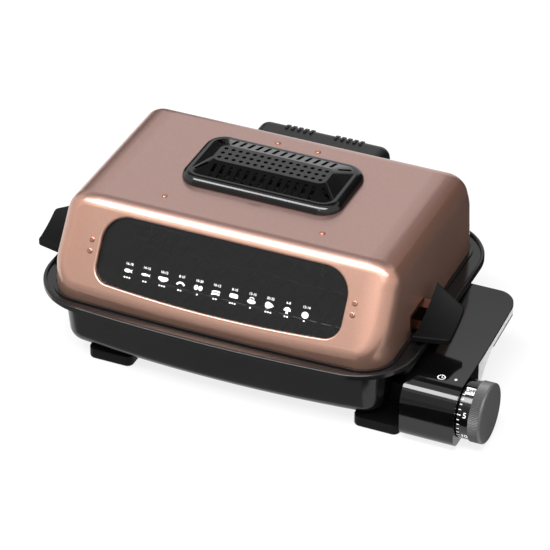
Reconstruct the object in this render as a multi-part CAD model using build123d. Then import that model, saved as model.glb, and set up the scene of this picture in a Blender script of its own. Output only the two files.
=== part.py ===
from build123d import *
import os
from math import atan2, cos, degrees, hypot, pi, radians, sin, tan

os.makedirs("parts", exist_ok=True)

# Double-sided grill. Millimetres and degrees, X to the right, Y to the rear, Z up from the table.
# The tub's centre is X = Y = 0 while the pieces are made; the whole is centred over its footprint at the end.

# Tub and rim
rim_length = 400.0
rim_depth = 308.6
rim_corner = 66.0
rim_bow = 11.9
rim_top = 81.0
bead_width = 4.0
bead_height = 5.5
bead_round = 1.8
shelf_drop = 2.5
shelf_thickness = 2.0
lip_gap = 1.0
lip_width = 2.5
lip_height = 1.6
tub_inset = 24.4
tub_corner = 26.0
tub_wall = 1.6
tub_draft = 5.0
tub_floor = 12.0
tub_floor_round = 15.0

# Lid; its creases are given as shares of its half depth, and the skirts stand upright below the leaning faces
lid_inset = 20.0
lid_corner = 32.0
lid_bow = 4.0
lid_wall = 1.2
lid_gap = 0.3
lid_top = 170.6
lid_draft = 2.0
lid_front_share = 0.618
lid_front_skirt = 10.0
lid_rear_share = 0.779
lid_rear_skirt = 23.0
lid_end_round = 23.0
lid_edge_round = 17.0

# Window in the lid's front face, heights measured down the slope from the crease
window_end_margin = 49.0
window_drop = 12.0
window_low_margin = 16.5
window_bow = 6.0
window_upper_round = 27.0
window_lower_round = 17.0
window_lip = 4.0
window_lip_round = 1.9
glass_overlap = 5.0
glass_thickness = 4.0
gasket_thickness = 1.0
clip_width = 30.0
clip_reach = 9.0
clip_sheet = 1.2

# Rivets
rivet_radius = 1.5
rivet_head_radius = 2.8
rivet_head_height = 1.3
rivet_dome = 1.0
rivet_upset_radius = 2.3
front_rivet_margin = 9.0
front_rivet_shift = 1.0
front_rivet_pitch = 11.4
hanger_rivet_gap = 8.0
rear_rivet_x = 22.0
rear_rivet_gap = 22.0
pin_clearance = 0.05

# Vent cover and filter on the lid's top; slots and holes are placed from the vent's centre
vent_length = 172.0
vent_depth = 92.6
vent_centre_y = 19.8
vent_height = 16.0
vent_rim_height = 9.0
vent_corner = 22.0
vent_wall = 2.0
vent_draft = 2.0
vent_edge_round = 8.0
vent_ledge = 1.5
vent_platform_length = 122.0
vent_platform_depth = 30.0
vent_platform_corner = 8.0
vent_slots = 13
vent_slot_width = 3.6
vent_slot_pitch = 8.9
vent_slot_length = 17.0
vent_slot_offset = 27.6
vent_corner_slot_length = 15.0
vent_corner_slot_x = 67.0
vent_corner_slot_y = 24.0
vent_corner_slot_angle = 45.0
vent_hole_radius = 2.2
vent_hole_pitch = 7.8
vent_row_pitch = 8.6
vent_hole_columns = 15
vent_hole_rows = 3
vent_mark_length = 14.0
vent_mark_height = 2.2
vent_mark_rise = 5.5
vent_mark_proud = 0.7
filter_length = 140.0
filter_depth = 60.0
filter_corner = 6.0
filter_thickness = 5.0
filter_cell = 10.0
filter_web = 2.5
holder_sheet = 1.2
holder_depth = 8.0
holder_flange = 5.0
seat_clearance = 0.3

# Heaters, both bent from one size of tube
heater_radius = 3.3
heater_bend = 16.0
heater_clearance = 0.3
lower_heater_z = 44.0
lower_heater_end_gap = 35.0
lower_heater_side_gap = 29.5
lower_heater_inner_share = 0.357
lower_heater_lead_share = 0.2
lower_heater_inner_gap = 38.0
lower_lead_length = 8.0
saddle_sheet = 2.0
saddle_width = 14.0
saddle_lip = 5.0
upper_heater_drop = 32.6
upper_heater_end_gap = 55.0
upper_heater_rear_gap = 18.5
upper_heater_front_gap = 21.0
upper_heater_mid_share = 0.352
upper_heater_mid_y = 20.0
upper_heater_lead_x = 28.0
upper_lead_end = 3.0
hanger_sheet = 1.5
hanger_width = 16.0
hanger_eye = 7.0
hanger_rear_margin = 5.0
hanger_depth = 24.0

# Tray and rack inside the tub
tray_end_gap = 22.0
tray_side_gap = 9.6
tray_height = 20.0
tray_wall = 1.0
tray_corner = 30.0
tray_draft = 10.0
tray_lip = 5.0
rack_gap = 7.0
rack_side_gap = 0.6
rack_z = 67.0
rack_frame_radius = 2.2
rack_wire_radius = 1.4
rack_wires = 18
rack_stays = 3
ledge_lap = 2.0
ledge_width = 22.0
ledge_height = 5.0
ledge_y = 62.0

# Feet
foot_length = 48.0
foot_width = 40.0
foot_round = 7.0
foot_edge = 2.5
left_foot_inset = 80.5
right_foot_inset = 32.0
foot_side_inset = 57.3
right_screw_offset = -17.0
screw_radius = 2.0
screw_head_radius = 3.8
screw_head_height = 2.4
screw_recess = 2.0

# Control box: a drum at the front right with a flat tail running to the rear
box_tuck = 5.0
box_width = 56.0
box_rear_y = 57.0
box_rear_top = 75.0
box_rear_corner = 20.0
box_skin = 2.5
box_fit = 0.2
box_wall = 2.2
box_side_step = 0.8
tail_thickness = 12.5
tail_root_y = -14.0
tail_root_z = 57.5
tail_sweep = 3.0
top_sag = 2.6
drum_front_y = -123.0
drum_back_y = -56.0
drum_back_z = 26.0
drum_bottom = 4.0
drum_crown = 66.0
drum_crown_round = 24.0
drum_low_round = 14.0
drum_end_wall = 3.0
housing_front_y = -72.0
housing_rear_y = 44.0
housing_top = 73.0
housing_wall = 2.4
inlet_radius = 8.0
inlet_bore = 3.6
inlet_length = 8.0
inlet_collar = 2.0
inlet_z = 34.0
terminal_height = 22.0
terminal_depth = 56.0

# Timer dial
dial_y = -89.5
dial_z = 34.0
dial_gap = 0.8
skirt_radius = 29.4
skirt_width = 12.0
grip_radius = 30.5
grip_width = 12.5
grip_teeth = 110
grip_tooth_depth = 0.7
grip_edge_round = 1.6
grip_end_ring = 2.5
dial_shell = 2.4
dial_face = 3.0
hub_radius = 7.0
shaft_radius = 3.0
shaft_clearance = 0.06
timer_size = 38.0
timer_length = 30.0
shaft_depth = 14.0

# Hinge
hinge_setback = 9.8
hinge_z = 91.0
hinge_x = 50.0
hinge_pin_radius = 3.0
knuckle_radius = 6.5
knuckle_width = 15.0
ear_thickness = 3.0
ear_gap = 0.3
ear_radius = 6.0
bracket_sheet = 2.0
ear_depth = 9.0
bracket_length = 46.0
arm_sheet = 2.0
arm_plate_width = 30.0
arm_plate_low = 84.0
arm_plate_high = 104.0
arm_web = 8.0

# Rear hood behind the lid, over the hinge
hood_width = 146.0
hood_top = 147.0
hood_bottom = 108.0
hood_overhang = 7.7
hood_round = 12.0
hood_wall = 2.5
hood_base_rise = 0.5
hood_slot_width = 3.2
hood_slot_pitch = 6.8
hood_slot_length = 8.0
hood_slot_drop = 5.0
hood_slots = 4
hood_slot_group_x = 27.5
block_width = 80.0
block_height = 12.0
block_depth = 22.0
block_seat = 0.2

# Side handles, drawn on the right and mirrored to the left
handle_gap = 8.0
handle_width = 35.0
handle_front_y = -73.0
handle_rear_y = -8.0
handle_front_slant = 8.0
handle_rear_slant = 16.0
handle_front_z = 90.0
handle_rise_y = -60.0
handle_mid_y = -38.0
handle_mid_rise = 7.0
handle_rise_round = 25.0
handle_rear_rise = 25.0
handle_thickness = 6.5
handle_corner = 5.0
handle_edge = 1.2
strap_front_y = -52.0
strap_rear_y = -28.0
strap_width = 9.0
strap_sheet = 2.5
strap_margin = 1.5
strap_plate_low = 83.0
strap_plate_high = 102.0

# Levels and places that follow from the sizes above
shelf_top = rim_top - shelf_drop
shelf_under = shelf_top - shelf_thickness
lid_bottom = shelf_top + lid_gap
lid_under = lid_top - lid_wall
lid_half_x = rim_length / 2 - lid_inset
lid_half_y = rim_depth / 2 - lid_inset
lid_front_crease = -lid_front_share * lid_half_y
lid_rear_crease = lid_rear_share * lid_half_y
front_setback = lid_half_y + lid_front_crease
rear_setback = lid_half_y - lid_rear_crease
front_fall = lid_top - lid_bottom - lid_front_skirt
rear_fall = lid_top - lid_bottom - lid_rear_skirt
lid_front_lean = degrees(atan2(front_setback, front_fall))
lid_rear_lean = degrees(atan2(rear_setback, rear_fall))
window_length = 2 * (lid_half_x - window_end_margin)
window_height = hypot(front_setback, front_fall) - window_drop - window_low_margin
front_rivet_x = window_length / 2 + front_rivet_margin
front_rivet_drop = window_drop + window_height / 2 + front_rivet_shift
rear_rivet_y = lid_rear_crease - rear_rivet_gap
upper_heater_z = lid_top - upper_heater_drop
upper_heater_reach = lid_half_x - upper_heater_end_gap
upper_heater_mid_x = upper_heater_mid_share * upper_heater_reach
upper_heater_front_y = lid_front_crease + upper_heater_front_gap
upper_heater_rear_y = rear_rivet_y - upper_heater_rear_gap
hanger_rivet_x = (upper_heater_reach + upper_heater_mid_x) / 2
hanger_rivet_y = upper_heater_front_y + hanger_rivet_gap
box_left = rim_length / 2 - box_tuck
box_right = box_left + box_width
hinge_y = rim_depth / 2 - hinge_setback
hood_rear_y = rim_depth / 2 + hood_overhang
handle_inner_x = lid_half_x + handle_gap
handle_outer_x = handle_inner_x + handle_width

parts = {}


# Shared shapes

def bowed_rect(half_x, half_y, corner, bow):
    """Rounded rectangle whose front and rear edges swell outwards by bow to half_y."""
    edge_y = half_y - bow
    front = ThreePointArc((-half_x, -edge_y), (0, -half_y), (half_x, -edge_y))
    right = Line((half_x, -edge_y), (half_x, edge_y))
    rear = ThreePointArc((half_x, edge_y), (0, half_y), (-half_x, edge_y))
    left = Line((-half_x, edge_y), (-half_x, -edge_y))
    face = make_face([front, right, rear, left])
    return fillet(face.vertices(), corner)


def rim_outline(inset):
    """Plan outline of the rim, moved inwards by inset."""
    return bowed_rect(rim_length / 2 - inset, rim_depth / 2 - inset, rim_corner - inset, rim_bow)


def tub_outline(inset):
    """Plan outline of the tub's mouth, moved inwards by inset."""
    half_x = rim_length / 2 - tub_inset - inset
    half_y = rim_depth / 2 - tub_inset - inset
    return bowed_rect(half_x, half_y, tub_corner - inset, rim_bow)


def lid_outline(inset):
    """Plan outline of the lid's lower edge, moved inwards by inset."""
    return bowed_rect(lid_half_x - inset, lid_half_y - inset, lid_corner - inset, lid_bow)


def ring(outer, inner, low, high):
    """Upright ring between two plan outlines and two heights."""
    return extrude(Pos(0, 0, low) * (outer - inner), high - low)


def tub_form(inset):
    """Drafted bowl below the shelf, moved inwards by inset on every side."""
    mouth = Pos(0, 0, shelf_under) * tub_outline(inset)
    depth = shelf_under - tub_floor - inset
    bowl = extrude(mouth, depth, dir=(0, 0, -1), taper=tub_draft)
    floor_edges = bowl.faces().sort_by(Axis.Z)[0].edges()
    return fillet(floor_edges, tub_floor_round - inset)


def tub_side_x(z):
    """Half-length of the tub's outer end wall at height z."""
    return rim_length / 2 - tub_inset - (shelf_under - z) * tan(radians(tub_draft))


def tub_side_y(z):
    """Half-depth of the tub's outer front wall at height z, at the ends of its bow."""
    return rim_depth / 2 - rim_bow - tub_inset - (shelf_under - z) * tan(radians(tub_draft))


def rod(start, end, radius):
    """Round rod between two points."""
    run = Vector(*end) - Vector(*start)
    return extrude(Plane(origin=start, z_dir=run) * Circle(radius), run.length)


def block(low, high):
    """Box between two opposite corners."""
    size = Vector(*high) - Vector(*low)
    return Pos(*low) * Box(size.X, size.Y, size.Z, align=Align.MIN)


def tube_along(points, bend, radius):
    """Round tube along straight runs joined by equal bends."""
    path = FilletPolyline(*points, radius=bend)
    section = Plane(origin=path @ 0, z_dir=path % 0) * Circle(radius)
    return sweep(section, path=path)


def lean_plane(crease_y, lean, side):
    """Plane of a leaning lid face: origin on the top crease, local Y up the slope, Z outwards."""
    outward = (0, side * cos(radians(lean)), sin(radians(lean)))
    return Plane(origin=(0, crease_y, lid_top), x_dir=(-side, 0, 0), z_dir=outward)


front_face = lean_plane(lid_front_crease, lid_front_lean, -1)
rear_face = lean_plane(lid_rear_crease, lid_rear_lean, 1)


def lid_form(inset):
    """Closed lid body: a drafted block with a rounded crown, cut to leaning faces with rounded edges."""
    body = extrude(Pos(0, 0, lid_bottom) * lid_outline(inset), lid_top - inset - lid_bottom, taper=lid_draft)
    body = fillet(body.faces().sort_by(Axis.Z)[-1].edges(), lid_end_round - inset)
    for plane in (front_face, rear_face):
        body = split(body, plane.offset(-inset), keep=Keep.BOTTOM)
    for plane in (front_face, rear_face):
        face = body.faces().filter_by(plane)[0]
        body = fillet(face.edges(), lid_edge_round - inset)
    return body


# Tub: drawn bowl, rolled outer bead, shelf with a raised lip round the lid's seat, and ledges for the rack
tub_inside = tub_form(tub_wall)
tub = tub_form(0) - tub_inside
tub += ring(rim_outline(0), tub_outline(tub_wall), shelf_under, shelf_top)
bead = ring(rim_outline(0), rim_outline(bead_width), rim_top - bead_height, rim_top)
tub += fillet(bead.edges().group_by(Axis.Z)[-1], bead_round)
lip_outside = lip_gap + lip_width
tub += ring(lid_outline(-lip_outside), lid_outline(-lip_gap), shelf_under, shelf_top + lip_height)
rack_half_x = tub_side_x(rack_z) - tub_wall - rack_gap - rack_frame_radius
rack_half_y = tub_side_y(rack_z) - tub_wall - rack_side_gap
ledge_top = rack_z - rack_frame_radius
ledge_outer_x = tub_side_x(ledge_top) - tub_wall / 2
ledge_inner_x = rack_half_x - ledge_lap
for side in (-1, 1):
    for y in (-ledge_y, ledge_y):
        place = Pos(side * (ledge_inner_x + ledge_outer_x) / 2, y, ledge_top - ledge_height / 2)
        tub += place * Box(ledge_outer_x - ledge_inner_x, ledge_width, ledge_height)
lower_heater_reach = tub_side_x(lower_heater_z) - tub_wall - lower_heater_end_gap
lower_heater_outer_y = tub_side_y(lower_heater_z) - tub_wall - lower_heater_side_gap
lower_heater_inner_y = lower_heater_inner_share * lower_heater_outer_y
lower_heater_lead_y = lower_heater_lead_share * lower_heater_outer_y
lower_heater_inner_x = lower_heater_reach - lower_heater_inner_gap
lead_end_x = tub_side_x(lower_heater_z) + lower_lead_length
for y in (-lower_heater_lead_y, lower_heater_lead_y):
    lead_start = (lower_heater_reach, y, lower_heater_z)
    tub -= rod(lead_start, (lead_end_x, y, lower_heater_z), heater_radius + heater_clearance)

# Feet: rounded slabs under the tub, each with a sunk screw; the right pair also carries the terminal housing
foot_y = rim_depth / 2 - foot_side_inset
left_foot_x = left_foot_inset - rim_length / 2
right_foot_x = rim_length / 2 - right_foot_inset
foot_places = {
    "foot_front_left": (left_foot_x, -foot_y, 0.0),
    "foot_rear_left": (left_foot_x, foot_y, 0.0),
    "foot_front_right": (right_foot_x, -foot_y, right_screw_offset),
    "foot_rear_right": (right_foot_x, foot_y, right_screw_offset),
}
foot_screws = []
for name, (x, y, screw_offset) in foot_places.items():
    foot = Pos(x, y, tub_floor / 2) * Box(foot_length, foot_width, tub_floor)
    foot = fillet(foot.edges().filter_by(Axis.Z), foot_round)
    foot = fillet(foot.edges().group_by(Axis.Z)[0], foot_edge)
    screw_x = x + screw_offset
    head_top = screw_recess + screw_head_height
    recess = rod((screw_x, y, 0), (screw_x, y, head_top), screw_head_radius + seat_clearance)
    shank_top = tub_floor + tub_wall
    shank_hole = rod((screw_x, y, 0), (screw_x, y, shank_top + tub_wall), screw_radius + pin_clearance)
    parts[name] = foot - recess - shank_hole
    tub -= shank_hole
    head = rod((screw_x, y, screw_recess), (screw_x, y, head_top), screw_head_radius)
    foot_screws.append(head + rod((screw_x, y, screw_recess), (screw_x, y, shank_top), screw_radius))
parts["tub"] = tub
parts["foot_screws"] = Compound(foot_screws)

# Drip tray: drafted pan with a flat lip, standing on the tub floor
tray_base = tub_floor + tub_wall
tray_top = tray_base + tray_height
tray_length = 2 * (tub_side_x(tray_top) - tub_wall - tray_lip - tray_end_gap)
tray_depth = 2 * (tub_side_y(tray_top) - tub_wall - tray_lip - tray_side_gap)


def tray_outline(grow):
    """Plan outline of the tray's mouth, moved outwards by grow."""
    return RectangleRounded(tray_length + 2 * grow, tray_depth + 2 * grow, tray_corner + grow)


drip_tray = extrude(Pos(0, 0, tray_top) * tray_outline(0), tray_height, dir=(0, 0, -1), taper=tray_draft)
tray_hollow = Pos(0, 0, tray_top) * tray_outline(-tray_wall)
drip_tray -= extrude(tray_hollow, tray_height - tray_wall, dir=(0, 0, -1), taper=tray_draft)
tray_rim = Pos(0, 0, tray_top - tray_wall) * (tray_outline(tray_lip) - tray_outline(-tray_wall))
parts["drip_tray"] = drip_tray + extrude(tray_rim, tray_wall)

# Lower heater: one bent tube with both leads out through the right end wall, resting on two saddles at the left
lower_route = []
for x, y in (
    (lead_end_x, lower_heater_lead_y),
    (lower_heater_reach, lower_heater_lead_y),
    (lower_heater_reach, lower_heater_outer_y),
    (-lower_heater_reach, lower_heater_outer_y),
    (-lower_heater_reach, lower_heater_inner_y),
    (lower_heater_inner_x, lower_heater_inner_y),
):
    lower_route.append((x, -y, lower_heater_z))
lower_route += [(x, -y, z) for x, y, z in reversed(lower_route)]
parts["lower_heater"] = tube_along(lower_route, heater_bend, heater_radius)

saddle_top = lower_heater_z - heater_radius - pin_clearance
saddle_tip_x = -lower_heater_reach + heater_radius + heater_clearance
heater_saddles = []
for side in (-1, 1):
    y = side * (lower_heater_outer_y + lower_heater_inner_y) / 2
    low_y = y - saddle_width / 2
    high_y = y + saddle_width / 2
    saddle = block((-rim_length / 2, low_y, saddle_top - saddle_sheet), (saddle_tip_x, high_y, saddle_top))
    tip_low = (saddle_tip_x, low_y, saddle_top - saddle_sheet)
    saddle += block(tip_low, (saddle_tip_x + saddle_sheet, high_y, saddle_top + saddle_lip))
    heater_saddles.append(saddle & tub_inside)
parts["heater_saddles"] = Compound(heater_saddles)

# Grill rack: wire frame with cross wires welded on top and stays in the plane of the frame
rack_corner = rim_corner - tub_inset - rack_gap - rack_frame_radius
frame_path = Pos(0, 0, rack_z) * RectangleRounded(2 * rack_half_x, 2 * rack_half_y, rack_corner).wire()
frame_section = Plane(origin=frame_path @ 0, z_dir=frame_path % 0) * Circle(rack_frame_radius)
grill_rack = sweep(frame_section, path=frame_path)
wire_z = rack_z + rack_frame_radius + rack_wire_radius / 2
wire_span = 2 * (rack_half_x - rack_corner)
for index in range(rack_wires):
    x = wire_span * (index / (rack_wires - 1) - 0.5)
    grill_rack += rod((x, -rack_half_y, wire_z), (x, rack_half_y, wire_z), rack_wire_radius)
stay_pitch = 2 * rack_half_y / (rack_stays + 1)
for index in range(rack_stays):
    y = (index + 1) * stay_pitch - rack_half_y
    grill_rack += rod((-rack_half_x, y, rack_z), (rack_half_x, y, rack_z), rack_wire_radius)
parts["grill_rack"] = grill_rack

# Terminal housing: hollow neck between the tub's right end wall and the control box, open towards the tub
housing_section = make_face(
    Polyline(
        (tub_side_x(tub_floor), tub_floor),
        (box_left, tub_floor),
        (box_left, housing_top),
        (tub_side_x(housing_top), housing_top),
        close=True,
    )
)
housing_depth = housing_rear_y - housing_front_y
terminal_housing = extrude(Plane.XZ.offset(-housing_rear_y) * housing_section, housing_depth)
terminal_housing -= block(
    (tub_side_x(tub_floor) - tub_wall, housing_front_y + housing_wall, tub_floor + housing_wall),
    (box_left - housing_wall, housing_rear_y - housing_wall, housing_top - housing_wall),
)
inlet_x = (tub_side_x(inlet_z) + box_left) / 2
inlet_axis_start = (inlet_x, housing_rear_y - housing_wall, inlet_z)
inlet_axis_end = (inlet_x, housing_rear_y + inlet_length, inlet_z)
inlet_neck = inlet_radius - inlet_collar
terminal_housing -= rod(inlet_axis_start, inlet_axis_end, inlet_neck + pin_clearance)
parts["terminal_housing"] = terminal_housing

# Cord inlet: a collared bush in the housing's rear wall, open right through
collar_start = (inlet_x, housing_rear_y, inlet_z)
cord_inlet = rod(inlet_axis_start, inlet_axis_end, inlet_neck)
cord_inlet += rod(collar_start, (inlet_x, housing_rear_y + inlet_collar, inlet_z), inlet_radius)
parts["cord_inlet"] = cord_inlet - rod(inlet_axis_start, inlet_axis_end, inlet_bore)

# Terminal block: ceramic block on the housing's right wall, with a blind bore for each heater lead
terminal_left = lead_end_x - lower_lead_length / 2
terminal_block = block(
    (terminal_left, -terminal_depth / 2, lower_heater_z - terminal_height / 2),
    (box_left - housing_wall, terminal_depth / 2, lower_heater_z + terminal_height / 2),
)
for y in (-lower_heater_lead_y, lower_heater_lead_y):
    bore_end = (lead_end_x + heater_clearance, y, lower_heater_z)
    terminal_block -= rod((terminal_left, y, lower_heater_z), bore_end, heater_radius + pin_clearance)
parts["terminal_block"] = terminal_block


# Control box: the side outline is drawn once and used at three insets, for the cover, the case and its hollow

def control_profile(skin):
    """Side outline (Y, Z) of the control box, its front, top, rear and drum bottom moved inwards by skin."""
    front = drum_front_y + skin
    bottom = drum_bottom + skin
    crown = drum_crown - skin
    rear = box_rear_y - skin
    rear_top = box_rear_top - skin
    crown_round = drum_crown_round - skin
    low_round = drum_low_round - skin
    crown_y = front + crown_round
    low_z = bottom + low_round
    tail_under = box_rear_top - tail_thickness
    sweep_mid_y = (tail_root_y + drum_back_y) / 2 - tail_sweep
    sweep_mid_z = (tail_root_z + drum_back_z) / 2 + tail_sweep
    top_mid = ((crown_y + rear) / 2, (crown + rear_top) / 2 - top_sag)
    edges = [
        Line((front, low_z), (front, crown - crown_round)),
        RadiusArc((front, crown - crown_round), (crown_y, crown), crown_round),
        ThreePointArc((crown_y, crown), top_mid, (rear, rear_top)),
        Line((rear, rear_top), (rear, tail_under)),
        Line((rear, tail_under), (tail_root_y, tail_root_z)),
        ThreePointArc((tail_root_y, tail_root_z), (sweep_mid_y, sweep_mid_z), (drum_back_y, drum_back_z)),
        Line((drum_back_y, drum_back_z), (drum_back_y, bottom)),
        Line((drum_back_y, bottom), (front + low_round, bottom)),
        RadiusArc((front + low_round, bottom), (front, low_z), low_round),
    ]
    return make_face(edges)


def along_box(profile, left, right):
    """Side outline drawn out along X between two places."""
    return extrude(Plane.YZ.offset(left) * profile, right - left)


box_outside = along_box(control_profile(0), box_left, box_right)
corner_edge = box_outside.edges().filter_by(Axis.Z).group_by(Axis.Y)[-1].sort_by(Axis.X)[-1]
box_outside = fillet(corner_edge, box_rear_corner)
end_wall_left = box_right - drum_end_wall
drum_zone = block((end_wall_left, drum_front_y, 0), (box_right, drum_back_y, rim_top))
shaft_axis = (dial_y, dial_z)
dial_left = box_right + dial_gap
shaft_start = (end_wall_left - shaft_depth, *shaft_axis)

# Control cover: glossy skin over the drum and the tail, with the drum's right end wall
control_cover = box_outside - along_box(control_profile(box_skin), box_left, box_right)
control_cover += along_box(control_profile(box_skin), end_wall_left, box_right) & drum_zone
control_cover -= rod(shaft_start, (box_right, *shaft_axis), shaft_radius + seat_clearance)
parts["control_cover"] = control_cover

# Control case: pale hollow moulding under the cover, showing as a strip along the right side
case_profile = control_profile(box_skin + box_fit)
case_right = box_right - box_side_step
control_case = along_box(case_profile, box_left, case_right) & box_outside
case_hollow = offset(case_profile, -box_wall)
control_case -= along_box(case_hollow, box_left, case_right - box_wall)
control_case -= along_box(case_hollow, box_left, box_right) & drum_zone
fit_zone = block(
    (end_wall_left - box_fit, drum_front_y, 0),
    (box_right, drum_back_y + box_fit, rim_top),
)
parts["control_case"] = control_case - fit_zone

# Timer: clockwork body on the inside of the drum's end wall, its shaft turning with the dial
timer_body = block(
    (end_wall_left - timer_length, dial_y - timer_size / 2, dial_z - timer_size / 2),
    (end_wall_left, dial_y + timer_size / 2, dial_z + timer_size / 2),
)
timer_body = fillet(timer_body.edges().filter_by(Axis.X), grip_edge_round)
timer_body -= rod(shaft_start, (box_right, *shaft_axis), shaft_radius + shaft_clearance)
parts["timer_body"] = timer_body


def grip_outline():
    """Toothed outline of the grip: straight flanks between tooth tips and roots."""
    points = []
    for index in range(2 * grip_teeth):
        angle = pi * index / grip_teeth
        radius = grip_radius - grip_tooth_depth * (index % 2)
        points.append((radius * cos(angle), radius * sin(angle)))
    return make_face(Polyline(*points, close=True))


# Timer dial: plain scale skirt, toothed grip, smooth end ring, hollow behind with a hub for the shaft
dial_plane = Plane(origin=(dial_left, *shaft_axis), x_dir=(0, 1, 0), z_dir=(1, 0, 0))
dial_length = skirt_width + grip_width
timer_dial = extrude(dial_plane * Circle(skirt_radius), skirt_width)
timer_dial += extrude(dial_plane.offset(skirt_width) * grip_outline(), grip_width - grip_end_ring)
end_ring = extrude(dial_plane.offset(dial_length - grip_end_ring) * Circle(grip_radius), grip_end_ring)
timer_dial += fillet(end_ring.edges().group_by(Axis.X)[-1], grip_edge_round)
hollow = Circle(skirt_radius - dial_shell) - Circle(hub_radius)
timer_dial -= extrude(dial_plane * hollow, dial_length - dial_face)
shaft_end = (dial_left + dial_length - dial_face, *shaft_axis)
timer_dial -= rod((dial_left, *shaft_axis), shaft_end, shaft_radius + pin_clearance)
parts["timer_dial"] = timer_dial
shaft_tip = (shaft_start[0] + seat_clearance, *shaft_axis)
parts["timer_shaft"] = rod(shaft_tip, (shaft_end[0] - seat_clearance, *shaft_axis), shaft_radius)


# Lid shell: drawn pressing with a window whose edge is turned in, a vent opening and holes for rivets and leads

def window_outline(grow):
    """Window outline on the front face: straight top, bowed bottom, moved outwards by grow."""
    half = window_length / 2 + grow
    top = grow - window_drop
    low = -window_drop - window_height - grow
    edges = [
        Line((-half, low), (-half, top)),
        Line((-half, top), (half, top)),
        Line((half, top), (half, low)),
        ThreePointArc((half, low), (0, low - window_bow), (-half, low)),
    ]
    corners = make_face(edges).vertices().sort_by(Axis.Y)
    outline = fillet(corners[-2:], window_upper_round + grow)
    return fillet(outline.vertices().sort_by(Axis.Y)[:2], window_lower_round + grow)


def behind(plane, outline, near, far):
    """Outline on a leaning face drawn inwards from one depth to another."""
    return extrude(plane.offset(-far) * outline, far - near)


def vent_rect(length, depth, corner, z):
    """Rounded rectangle over the vent's centre at a height."""
    return Pos(0, vent_centre_y, z) * RectangleRounded(length, depth, corner)


def around_filter(grow, z):
    """Filter outline at a height, moved outwards by grow."""
    return vent_rect(filter_length + 2 * grow, filter_depth + 2 * grow, filter_corner + grow, z)


lid_outside = lid_form(0)
lid_inside = lid_form(lid_wall)
lid_cladding = lid_form(-arm_sheet) - lid_outside
lid_shell = lid_outside - lid_inside
lid_shell += behind(front_face, window_outline(lid_wall), 0, window_lip) & lid_outside
lid_shell -= behind(front_face, window_outline(0), -window_lip, window_lip)
mouth = window_outline(pin_clearance).bounding_box()
mouth_edges = []
for edge in lid_shell.edges():
    spot = front_face.to_local_coords(edge.center())
    on_face = abs(spot.Z) < pin_clearance
    if on_face and abs(spot.X) < mouth.max.X and mouth.min.Y < spot.Y < mouth.max.Y:
        mouth_edges.append(edge)
lid_shell = fillet(mouth_edges, window_lip_round)
pan_grow = seat_clearance + holder_sheet
lid_shell -= extrude(around_filter(pan_grow + seat_clearance, lid_under - lid_wall), 3 * lid_wall)
rear_wall_y = rear_face.origin.Y + (lid_top - upper_heater_z) * tan(radians(lid_rear_lean))
upper_lead_y = rear_wall_y + block_depth + upper_lead_end
for x in (-upper_heater_lead_x, upper_heater_lead_x):
    lead_start = (x, upper_heater_rear_y, upper_heater_z)
    lid_shell -= rod(lead_start, (x, upper_lead_y, upper_heater_z), heater_radius + heater_clearance)

# Lid rivets: domed heads outside, shanks through the shell and what it carries, upset ends inside
rivet_places = []
for x in (-front_rivet_x, front_rivet_x):
    for step in (-front_rivet_pitch / 2, front_rivet_pitch / 2):
        rivet_places.append((front_face * Pos(x, step - front_rivet_drop), lid_wall + clip_sheet))
for x, y in ((hanger_rivet_x, hanger_rivet_y), (rear_rivet_x, rear_rivet_y)):
    for side in (-1, 1):
        rivet_places.append((Pos(side * x, y, lid_top), lid_wall + hanger_sheet))
rivet_holes = []
lid_rivets = []
for place, grip in rivet_places:
    head = extrude(Circle(rivet_head_radius), rivet_head_height)
    head = fillet(head.edges().group_by(Axis.Z)[-1], rivet_dome)
    shank = extrude(Circle(rivet_radius), -grip - rivet_head_height)
    upset = extrude(Pos(0, 0, -grip) * Circle(rivet_upset_radius), -rivet_head_height)
    lid_rivets.append(place * (head + shank + upset))
    hole = place * extrude(Circle(rivet_radius + pin_clearance), -grip)
    rivet_holes.append(hole)
    lid_shell -= hole
parts["lid_shell"] = lid_shell
parts["lid_rivets"] = Compound(lid_rivets)

# Window: gasket on the turned-in edge, glass behind it, a riveted clip over each end of the glass
glass_front = window_lip + gasket_thickness
glass_back = glass_front + glass_thickness
gasket_face = window_outline(glass_overlap) - window_outline(0)
parts["window_gasket"] = behind(front_face, gasket_face, window_lip, glass_front)
parts["window_glass"] = behind(front_face, window_outline(glass_overlap), glass_front, glass_back)
clip_x = window_length / 2 + glass_overlap + seat_clearance
clip_low = -front_rivet_drop - clip_width / 2
clip_high = clip_low + clip_width
clip_outer_x = 2 * front_rivet_x - clip_x
clip_back = -glass_back - clip_sheet
window_clip = block((clip_x, clip_low, -lid_wall - clip_sheet), (clip_outer_x, clip_high, -lid_wall))
window_clip += block((clip_x, clip_low, clip_back), (clip_x + clip_sheet, clip_high, -lid_wall))
clip_tip_x = clip_x - clip_reach
window_clip += block((clip_tip_x, clip_low, clip_back), (clip_x + clip_sheet, clip_high, -glass_back))
window_clip = front_face * window_clip
for hole in rivet_holes:
    window_clip -= hole
parts["window_clip_right"] = window_clip
parts["window_clip_left"] = mirror(window_clip, about=Plane.YZ)

# Filter holder: flanged pan hung in the vent opening, its floor open in three windows
pan_floor = lid_top - holder_depth
filter_base = pan_floor + holder_sheet
filter_holder = extrude(around_filter(pan_grow, pan_floor), holder_depth + holder_sheet)
filter_holder += extrude(around_filter(pan_grow + holder_flange, lid_top), holder_sheet)
filter_holder -= extrude(around_filter(seat_clearance, filter_base), holder_depth)
floor_window = (filter_length - 4 * holder_flange) / 3
for step in (-1, 0, 1):
    cut = Pos(step * (floor_window + holder_flange), vent_centre_y, pan_floor)
    filter_holder -= cut * Box(floor_window, filter_depth - 2 * holder_flange, 4 * holder_sheet)
parts["filter_holder"] = filter_holder

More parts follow.
